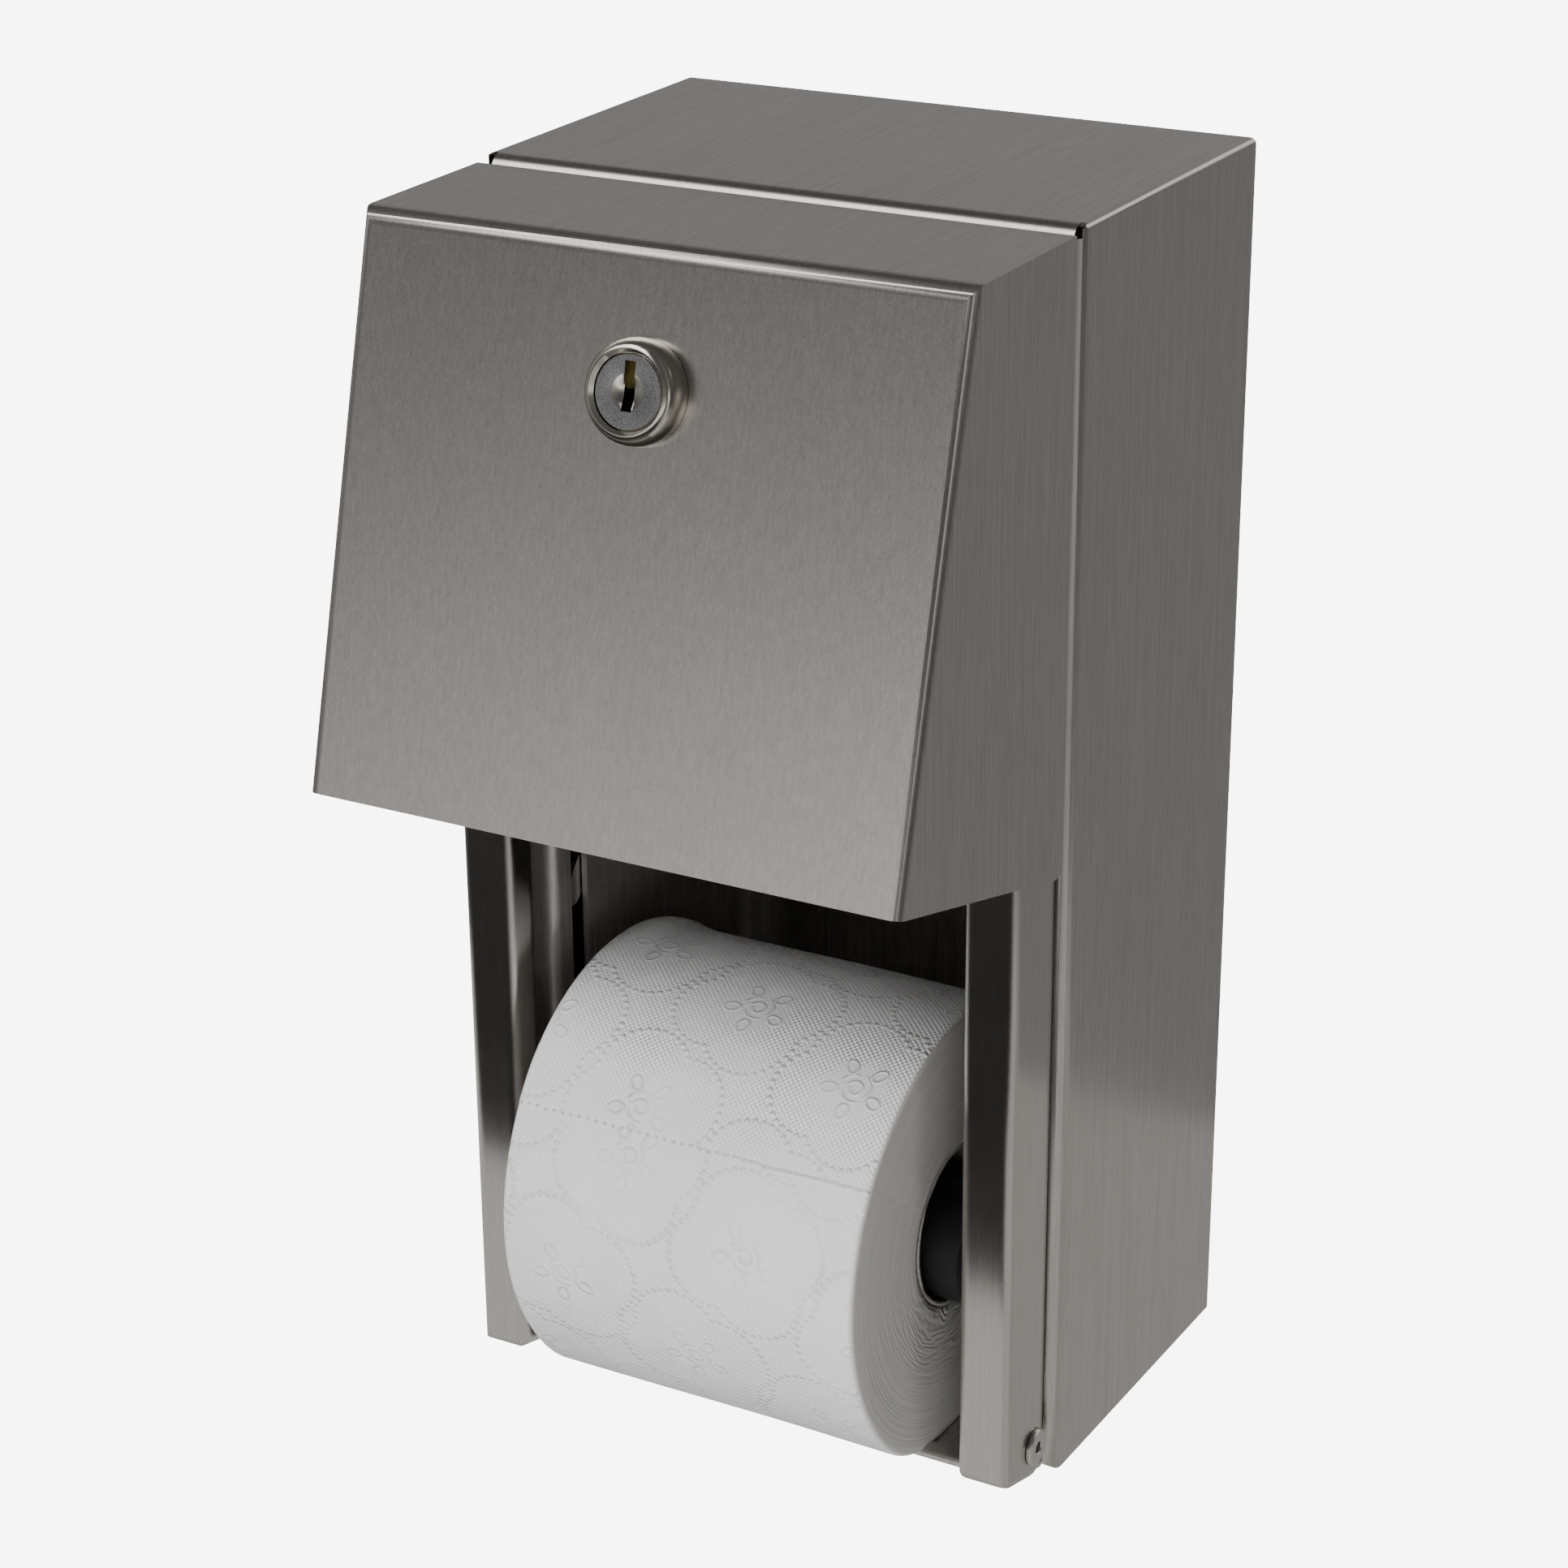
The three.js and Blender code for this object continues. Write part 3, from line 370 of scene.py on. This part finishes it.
def zinc(name):
    """Zinc plate on small stampings: bluish, with soft blotches."""
    made, n, shader = material(name, Metallic=1.0)
    blotches = n.noise(n.place(), 260, detail=4)
    colour = n.ramp(blotches, [(0.3, (0.50, 0.50, 0.47)), (0.7, (0.66, 0.67, 0.66))])
    n.put(shader.inputs["Base Color"], colour)
    n.put(shader.inputs["Roughness"], n.math("MULTIPLY_ADD", blotches, 0.2, 0.26))
    n.put(shader.inputs["Normal"], n.bump(blotches, 0.15, 0.03 * MM))
    return made


# Plastic, cardboard and paper


def moulded_plastic(name):
    made, n, shader = material(name, IOR=1.5)
    texture = n.noise(n.place(), 2600, detail=2)
    marks = n.noise(n.place(), 120, detail=3)
    colour = n.ramp(marks, [(0.3, (0.010, 0.010, 0.011)), (0.7, (0.018, 0.018, 0.019))])
    n.put(shader.inputs["Base Color"], colour)
    n.put(shader.inputs["Roughness"], n.math("MULTIPLY_ADD", marks, 0.2, 0.42))
    n.put(shader.inputs["Normal"], n.bump(texture, 0.2, 0.03 * MM))
    return made


def cardboard(name):
    made, n, shader = material(name, Specular_IOR_Level=0.25)
    place = n.place()
    fibres = n.noise(n.stretched(place, (500, 1800, 1800)), detail=3)
    specks = n.noise(place, 1500, detail=2)
    tone = n.math("ADD", n.math("MULTIPLY", fibres, 0.6), n.math("MULTIPLY", specks, 0.4))
    colour = n.ramp(tone, [(0.3, (0.24, 0.22, 0.19)), (0.7, (0.46, 0.44, 0.40))])
    n.put(shader.inputs["Base Color"], colour)
    n.put(shader.inputs["Roughness"], n.math("MULTIPLY_ADD", fibres, 0.1, 0.82))
    n.put(shader.inputs["Normal"], n.bump(tone, 0.5, 0.08 * MM))
    return made


def rosette(n, u, v):
    """A rose of broken rings with leaves round it."""
    centre = n.length(u, v)
    turn = n.math("ARCTAN2", v, u)
    coil = n.math("MULTIPLY_ADD", turn, 0.2, centre)
    broken = n.between(n.math("SINE", n.math("MULTIPLY_ADD", turn, 3, centre)), -0.9, -0.2)
    inner, outer = (n.ridge(n.math("SUBTRACT", coil, radius), ROSE_LINE) for radius in ROSE_RINGS)
    rings = n.math("MAXIMUM", inner, n.math("MULTIPLY", outer, broken))
    side = n.from_nearest(turn, math.tau / LEAVES)
    outward = n.math("MULTIPLY", centre, n.math("COSINE", side))
    sideways = n.math("MULTIPLY", centre, n.math("SINE", side))
    leaf_x = n.math("DIVIDE", n.math("SUBTRACT", outward, LEAF_PLACE), LEAF_HALVES[0])
    leaf_y = n.math("DIVIDE", sideways, LEAF_HALVES[1])
    leaves = n.ridge(n.math("SUBTRACT", n.length(leaf_x, leaf_y), 1), 0.4)
    return n.math("MAXIMUM", rings, leaves)


def embossing(n, along, round_, below):
    """Height of the pressed pattern, 0 to 1: waffle, scalloped rings of dots, and a rosette in each."""
    starts = [n.blend(below, first, second) for first, second in zip(*MEDALLION_STARTS)]
    along = n.math("SUBTRACT", along, starts[0])
    round_ = n.math("SUBTRACT", round_, starts[1])
    lean_cos, lean_sin = math.cos(MEDALLION_LEAN), math.sin(MEDALLION_LEAN)
    turned = [n.math("MULTIPLY_ADD", along, lean_cos, n.math("MULTIPLY", round_, lean_sin)),
              n.math("MULTIPLY_ADD", round_, lean_cos, n.math("MULTIPLY", along, -lean_sin))]
    u, v = (n.from_nearest(value, MEDALLION_PITCH) for value in turned)

    sides = [n.math("SUBTRACT", n.math("ABSOLUTE", value), LOBE_OFFSET) for value in (u, v)]
    ring = n.math("SUBTRACT", n.length(*sides), LOBE_RADIUS)
    step = n.from_nearest(n.math("MULTIPLY", n.math("ARCTAN2", *sides), LOBE_RADIUS), DOT_PITCH)
    dots = n.between(n.length(ring, step), DOT_RADIUS, DOT_RADIUS * 0.3)

    slants = n.math("ADD", along, round_), n.math("SUBTRACT", along, round_)
    waves = [n.math("COSINE", n.math("MULTIPLY", s, math.sqrt(2) * math.pi / WAFFLE_PITCH)) for s in slants]
    waffle = n.math("MULTIPLY_ADD", n.math("ADD", *waves), 0.25, 0.5)
    waffle = n.math("MULTIPLY", waffle, n.between(n.length(u, v), 5, 10))
    pressed = n.math("MAXIMUM", n.math("MULTIPLY", rosette(n, u, v), 0.9), n.math("MULTIPLY", dots, 1.3))
    return n.math("MAXIMUM", pressed, n.math("MULTIPLY", waffle, 0.45))


def tissue(name, radius):
    """The roll's paper: embossed outside with the tail's edge on it and a painted shadow along that edge, and
    wound layers at the ends, which are painted darker as shade.
    """
    made, n, shader = material(name, Specular_IOR_Level=0.15, Subsurface_Weight=0.1,
                               Subsurface_Scale=1.2 * MM, Sheen_Weight=0.1)
    place = n.place()
    x, y, z = n.split(n.stretched(place, (1000, 1000, 1000)))
    turn = n.math("ADD", n.math("ARCTAN2", n.math("MULTIPLY", z, -1), n.math("MULTIPLY", y, -1)), math.pi)
    turn_cos, turn_sin = n.math("COSINE", turn), n.math("SINE", turn)
    reach = n.length(y, z)
    at_end = n.between(n.math("ABSOLUTE", n.split(n.facing())[0]), 0.55, 0.85)
    fibre = n.noise(place, 1600, detail=4, roughness=0.7)

    below = n.math("GREATER_THAN", turn, TAIL_TURN)
    relief = embossing(n, x, n.math("MULTIPLY", turn, radius / MM), below)
    unevenness = n.noise(place, 60, detail=2)
    relief = n.math("MULTIPLY", relief, n.between(unevenness, 0.15, 0.6))
    relief = n.math("MULTIPLY", relief, n.blend(below, 0.9, 0.7))
    from_tail = n.math("MULTIPLY", n.math("SUBTRACT", turn, TAIL_TURN), radius / MM)
    wander = n.math("MULTIPLY", n.math("SUBTRACT", n.noise(place, 180, detail=3), 0.5), 1.4)
    tail_crease_and_shadow = n.ridge(n.math("ADD", from_tail, wander), 0.5)
    dashes = n.math("SINE", n.math("MULTIPLY", x, 2 * math.pi / PERFORATION_PITCH))
    whole = n.between(x, -8, 22)
    shown = n.between(n.math("ADD", dashes, n.math("MULTIPLY", whole, 1.6)), 0.2, 0.7)
    tail_crease_and_shadow = n.math("MULTIPLY", tail_crease_and_shadow, shown)

    rings = n.noise(n.join(n.math("MULTIPLY", reach, 2.2), turn_cos, turn_sin), detail=3)
    ripple = n.noise(n.join(n.math("MULTIPLY", reach, 0.08), turn_cos, turn_sin), 1.6)
    swayed = n.math("MULTIPLY_ADD", ripple, 14, reach)
    waves = n.math("SINE", n.math("MULTIPLY", swayed, 2 * math.pi / WRINKLE_PITCH))
    near_core = n.between(reach, 46, 24)
    at_bottom = n.ridge(n.math("SUBTRACT", turn, 1.5 * math.pi), 1.6)
    waves = n.math("MULTIPLY", waves, n.math("MULTIPLY", near_core, at_bottom))

    skin = n.ramp(fibre, [(0.25, (0.80, 0.80, 0.795)), (0.75, (0.87, 0.87, 0.865))])
    # Painted shadow: along the tail's edge and its perforation the paper is darkened, standing in for the
    # shadow under the lifted sheet. The bump below also presses the same line in.
    skin = n.mix(n.math("MULTIPLY", tail_crease_and_shadow, 0.3), skin, (0.4, 0.4, 0.39))
    # Painted shade: the wound ends are coloured a darker grey than the outside, standing in for the shade on
    # faces turned from the light. The rings in it are the paper's own layers.
    ends = n.ramp(rings, [(0.3, (0.52, 0.50, 0.47)), (0.7, (0.60, 0.58, 0.55))])
    n.put(shader.inputs["Base Color"], n.mix(at_end, skin, ends))
    n.put(shader.inputs["Roughness"], n.math("MULTIPLY_ADD", fibre, 0.06, 0.9))
    soft = n.bump(fibre, 0.3, 0.1 * MM)
    pressed = n.math("SUBTRACT", relief, n.math("MULTIPLY", tail_crease_and_shadow, 0.7))
    wound = n.math("MULTIPLY_ADD", waves, 0.22, n.math("MULTIPLY", rings, 0.35))
    height = n.blend(at_end, pressed, wound)
    n.put(shader.inputs["Normal"], n.bump(height, 1.0, RELIEF_HEIGHT, soft))
    return made


# Shapes


def mesh_object(name, points, faces):
    mesh = bpy.data.meshes.new(name)
    mesh.from_pydata(points, [], faces)
    mesh.update()
    made = bpy.data.objects.new(name, mesh)
    bpy.context.scene.collection.objects.link(made)
    return made


def revolved(name, profile, turns, bend):
    """A closed ring of quads round the X axis from (radius, x) points, each moved by bend(r, x, turn)."""
    points = []
    for turn in turns:
        for radius, along in profile:
            r, x = bend(radius, along, turn)
            points.append((x, r * math.cos(turn), r * math.sin(turn)))
    count = len(profile)
    faces = []
    for i in range(len(turns)):
        ahead = (i + 1) % len(turns)
        for j in range(count):
            k = (j + 1) % count
            faces.append((i * count + j, i * count + k, ahead * count + k, ahead * count + j))
    made = mesh_object(name, points, faces)
    for polygon in made.data.polygons:
        polygon.use_smooth = True
    return made


def smooth_group():
    """A modifier group that joins a CAD node's facets and smooths what bends gently."""
    group = bpy.data.node_groups.new("smooth_bends", "GeometryNodeTree")
    group.interface.new_socket("Geometry", in_out="INPUT", socket_type="NodeSocketGeometry")
    group.interface.new_socket("Geometry", in_out="OUTPUT", socket_type="NodeSocketGeometry")
    n = Nodes(group)
    source = n.add("NodeGroupInput").outputs[0]
    joined = n.add("GeometryNodeMergeByDistance", {"Geometry": source, "Distance": JOIN_DISTANCE}).outputs[0]
    soft = n.add("GeometryNodeSetShadeSmooth", {"Geometry": joined, "Shade Smooth": True}).outputs[0]
    angle = n.add("GeometryNodeInputMeshEdgeAngle").outputs[0]
    sharp = n.math("GREATER_THAN", angle, SMOOTH_ANGLE)
    edges = n.add("GeometryNodeSetShadeSmooth", {
        "Geometry": soft, "Selection": sharp, "Shade Smooth": False}, domain="EDGE").outputs[0]
    n.put(n.add("NodeGroupOutput").inputs[0], edges)
    return group


def lock_axis(plug):
    """The lock's axis through its two nuts, as (a point, the outward direction, the plug's face along it)."""
    inner, outer = (sum((Vector(corner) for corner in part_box(node)), Vector()) / 2
                    for node in ("cam_nut", "lock_nut"))
    axis = (outer - inner).normalized()
    face = max((vertex.co - outer).dot(axis) for vertex in plug.data.vertices)
    return outer, axis, face


def finish_nodes(nodes, finishes):
    """Gives each CAD node its material, and its bends a smooth shade that leaves flat faces flat."""
    group = smooth_group()
    for node, made in finishes.items():
        shown = nodes[node]
        shown.data.materials.clear()
        shown.data.materials.append(made)
        shown.modifiers.new("smooth", "NODES").node_group = group
        weighted = shown.modifiers.new("flat", "WEIGHTED_NORMAL")
        weighted.keep_sharp = True
        weighted.mode = "FACE_AREA_WITH_ANGLE"
        weighted.weight = FLAT_FACE_WEIGHT


# Paper rolls


def roll_profile(half, outer, inner, edge, dish):
    """A roll's section: outside, rounded edges, and ends that sink a little towards the core."""
    across = 64
    turns = 8
    rings = 22
    right = []
    for i in range(turns + 1):
        turn = math.pi / 2 * i / turns
        right.append((outer - edge * (1 - math.cos(turn)), half - edge * (1 - math.sin(turn))))
    top = outer - edge
    for i in range(1, rings + 1):
        share = i / rings
        right.append((top + (inner - top) * share, half - dish * share ** 2))
    left = [(radius, -along) for radius, along in reversed(right)]
    flat = half - edge
    middle = [(outer, -flat + 2 * flat * i / across) for i in range(1, across)]
    return left + middle + right


def hump(height, *places):
    """A smooth rise that is highest where all the places are zero."""
    return height * math.exp(-sum(place ** 2 for place in places))


def paper_roll(name, node, body, seed, rest):
    """A soft roll in place of its solid: one wound step, small dents and uneven ends.

    Rest is the height that it lies on with a flat, or None where it hangs free.
    """
    low, high = (Vector(corner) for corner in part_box(node))
    centre = (low + high) / 2
    outer = (high.z - low.z) / 2 + FULLER
    half = (high.x - low.x) / 2
    core_low, core_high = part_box(node.replace("paper", "core"))
    inner = (core_high[2] - core_low[2]) / 2 + 0.1 * MM
    profile = roll_profile(half, outer, inner, ROLL_EDGE, END_DISH)
    sag = SAG if rest else 0
    lowest = (rest or -1) + REST_GAP - (centre.z - sag)
    steps = 300
    seam = SEAM_GAP / outer
    turns = [TAIL_TURN + seam + (2 * math.pi - seam) * i / (steps - 1) for i in range(steps)]

    def soft(radius, along, turn):
        out = min(1, max(0, (radius - inner) / (outer - inner)))
        spot = Vector((along * 28, math.cos(turn) * 1.7, math.sin(turn) * 1.7 + seed))
        dent = DENT * (0.5 + 0.5 * noise.noise(spot))
        wound = SHEET_STEP * ((turn - TAIL_TURN) / (2 * math.pi) - 1)
        layer = LAYER_STEP * noise.noise(Vector((radius * 900, seed, turn * 0.7)))
        lean = END_LEAN * noise.noise(Vector((math.cos(turn) * 1.3, math.sin(turn) * 1.3, seed + 5)))
        end = min(1, max(0, (abs(along) - half + 4 * MM) / (2 * MM)))
        loose = hump(LOOSE_RISE, (along + LOOSE_PLACE) / LOOSE_WIDTH, (turn - LOOSE_TURN) / 0.5)
        bulge = hump(BULGE, (turn - BULGE_TURN) / 0.4) if rest else 0
        r = radius + (wound - dent + loose + bulge) * out
        height = r * math.sin(turn)
        if rest and height < lowest:
            r *= lowest / height
        return r, along - math.copysign((abs(layer) + abs(lean)) * end, along)

    made = revolved(name, profile, turns, soft)
    made.location = centre - Vector((0, 0, sag))
    made.data.materials.append(tissue(name, outer))
    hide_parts(node)
    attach(made, body)
    return made


def core_tube(name, node, body, seed, finish):
    """The cardboard tube, with a slightly torn and pressed edge."""
    low, high = (Vector(corner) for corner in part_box(node))
    centre = (low + high) / 2
    outer = (high.z - low.z) / 2
    half = (high.x - low.x) / 2
    steps = 24
    round_steps = 144
    outside = [(outer, -half + 2 * half * i / steps) for i in range(steps + 1)]
    inside = [(outer - CORE_WALL, along) for _, along in reversed(outside)]

    def worn(radius, along, turn):
        end = min(1, max(0, (abs(along) - half + CORE_WORN) / CORE_WORN))
        rough = noise.noise(Vector((math.cos(turn) * 3, math.sin(turn) * 3, seed)))
        back = math.copysign(CORE_TORN * end * abs(rough), along)
        return radius - CORE_PRESSED * end * (0.5 + 0.5 * rough), along - back

    turns = [2 * math.pi * i / round_steps for i in range(round_steps)]
    made = revolved(name, outside + inside, turns, worn)
    made.location = centre
    made.data.materials.append(finish)
    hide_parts(node)
    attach(made, body)
    return made


# Stage, light and camera


def level_sheet(name, half_x, half_y):
    """A level rectangle round the origin, facing up."""
    corners = [(-half_x, -half_y, 0), (half_x, -half_y, 0), (half_x, half_y, 0), (-half_x, half_y, 0)]
    return mesh_object(name, corners, [(0, 1, 2, 3)])


def card(name, size, place, colour, strength):
    """A level emitting card that only the reflections see."""
    made = level_sheet(name, size[0] / 2, size[1] / 2)
    made.location = place
    finish = bpy.data.materials.new(name)
    finish.use_nodes = True
    n = Nodes(finish.node_tree)
    glow = n.add("ShaderNodeEmission", {"Color": (*colour, 1), "Strength": strength})
    n.put(finish.node_tree.nodes["Material Output"].inputs["Surface"], glow.outputs[0])
    made.data.materials.append(finish)
    made.visible_camera = False
    made.visible_diffuse = False
    made.visible_shadow = False


def floor(height):
    """A white floor that glows evenly for the camera and takes no part in the light on the object."""
    made, n, shader = material("floor", Roughness=0.85, Specular_IOR_Level=0.1, Emission_Strength=7)
    shade = n.noise(n.place(), 3, detail=2)
    n.put(shader.inputs["Base Color"], n.ramp(shade, [(0.3, (0.88, 0.88, 0.88)), (0.7, (0.90, 0.90, 0.90))]))
    shader.inputs["Emission Color"].default_value = (1, 1, 1, 1)
    plane = level_sheet("floor", FLOOR_REACH, FLOOR_REACH)
    plane.location.z = height
    plane.data.materials.append(made)
    plane.visible_glossy = False
    plane.visible_diffuse = False


def world():
    """The surroundings painted by direction: a soft box at the front left, dark beside it, a pale room."""
    studio_world = bpy.data.worlds.new("studio")
    studio_world.use_nodes = True
    n = Nodes(studio_world.node_tree)
    direction = n.vector("NORMALIZE", n.add("ShaderNodeTexCoord").outputs["Generated"])
    x, y, z = n.split(direction)
    up = n.math("MULTIPLY_ADD", n.math("ARCSINE", z), 1 / math.pi, 0.5)
    azimuth = n.math("DEGREES", n.math("ARCTAN2", x, n.math("MULTIPLY", y, -1)))
    colour = None
    for change, stops in SURROUNDINGS:
        side = n.ramp(up, [((height + 90) / 180, level / BRIGHTEST) for height, level in stops])
        colour = side if colour is None else n.mix(n.between(azimuth, *change), colour, side)
    background = studio_world.node_tree.nodes["Background"]
    n.put(background.inputs["Color"], colour)
    background.inputs["Strength"].default_value = BRIGHTEST
    bpy.context.scene.world = studio_world


def soft_light(name, place, target, size, energy):
    data = bpy.data.lights.new(name, "AREA")
    data.shape = "RECTANGLE"
    data.size, data.size_y = size
    data.energy = energy
    made = bpy.data.objects.new(name, data)
    made.location = place
    made.rotation_euler = (Vector(target) - Vector(place)).to_track_quat("-Z", "Y").to_euler()
    made.visible_glossy = False
    bpy.context.scene.collection.objects.link(made)


def camera():
    data = bpy.data.cameras.new("camera")
    data.sensor_fit = "HORIZONTAL"
    data.sensor_width = SENSOR_WIDTH
    data.lens = FOCAL_PIXELS / PHOTO_WIDTH * SENSOR_WIDTH
    data.shift_x = 0.5 - CENTRE_PIXELS[0] / PHOTO_WIDTH
    data.shift_y = CENTRE_PIXELS[1] / PHOTO_WIDTH - 0.5
    data.clip_start = 0.01
    level = math.cos(CAMERA_ELEVATION)
    forward = Vector((-math.sin(CAMERA_AZIMUTH) * level, math.cos(CAMERA_AZIMUTH) * level,
                      -math.sin(CAMERA_ELEVATION)))
    level_right = forward.cross(Vector((0, 0, 1))).normalized()
    level_up = level_right.cross(forward)
    right = level_right * math.cos(CAMERA_ROLL) + level_up * math.sin(CAMERA_ROLL)
    up = right.cross(forward)
    made = bpy.data.objects.new("camera", data)
    turn = Matrix((right, up, -forward)).transposed()
    made.matrix_world = Matrix.Translation(CAMERA_PLACE) @ turn.to_4x4()
    bpy.context.scene.collection.objects.link(made)
    bpy.context.scene.camera = made


def studio(low):
    floor_height = low[2] - FLOOR_DROP
    floor(floor_height)
    world()
    glow_height = floor_height + CARD_RISE
    card("front_glow", (0.42, 0.27), (-0.134, -0.087, glow_height), (0.98, 1.0, 0.97), 0.68)
    card("side_glow", (0.36, 0.21), (0.256, 0.003, glow_height), (1.0, 0.99, 0.96), 0.40)
    card("corner_glow", (0.36, 0.22), (0.256, -0.212, glow_height), (1.0, 1.0, 0.98), 0.55)
    soft_light("key", (-0.4, -1.25, 1.25), (0, -0.1, -0.08), (0.5, 0.4), 9.5)
    soft_light("fill", (0.9, -0.8, 0.1), (0, -0.1, 0), (0.6, 0.6), 2)
    soft_light("bounce", (0.1, -0.6, low[2] + 0.01), (0, -0.1, low[2] + 0.06), (0.6, 0.3), 3)
    soft_light("overhead", (0, 0.5, 2.2), (0, 0, 0), (1.6, 1.6), 8)


def main():
    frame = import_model()
    cad_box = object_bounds()
    camera()
    studio(cad_box[0])

    outer_steel = steel("outer_steel")
    rail_steel = steel("rail_steel", roughness=0.18, streaks=0.5, smudges=2, softened=2.2 * MM)
    inner_steel = steel("inner_steel", tint=0.9, roughness=0.3, metallic=0.82)
    rivet_steel = steel("rivet_steel", tint=1.1, roughness=0.32, streaks=0.5, softened=0.3 * MM)
    plate = nickel("polished_nickel")
    stamping = zinc("zinc_plate")
    finishes = {
        "cabinet_shell": outer_steel,
        "hood": outer_steel,
        "back_panel": inner_steel,
        "guide_frame": inner_steel,
        "floor_plate": inner_steel,
        "rail_left": rail_steel,
        "rail_right": rail_steel,
        "lock_body": plate,
        "lock_plug": plug_metal("plug_nickel", *lock_axis(frame["nodes"]["lock_plug"])),
        "lock_nut": stamping,
        "lock_cam": stamping,
        "cam_nut": stamping,
        "lock_keeper": stamping,
        "lower_spindle": moulded_plastic("spindle_plastic"),
    }
    finishes["reserve_spindle"] = finishes["lower_spindle"]
    for side in ("left", "right"):
        finishes["hinge_rivet_" + side] = rivet_steel
        for part in ("hinge_bracket_", "catch_lever_", "catch_pivot_", "catch_stop_"):
            finishes[part + side] = stamping
    finish_nodes(frame["nodes"], finishes)

    board = cardboard("cardboard")
    plate_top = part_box("lower_paper")[0][2] - REST_GAP - 0.1 * MM
    for seed, (prefix, body) in enumerate((("lower", "lower_roll"), ("reserve", "reserve_roll"))):
        rest = plate_top if prefix == "lower" else None
        paper_roll(prefix + "_paper_roll", prefix + "_paper", body, seed, rest)
        core_tube(prefix + "_core_tube", prefix + "_core", body, seed, board)


main()
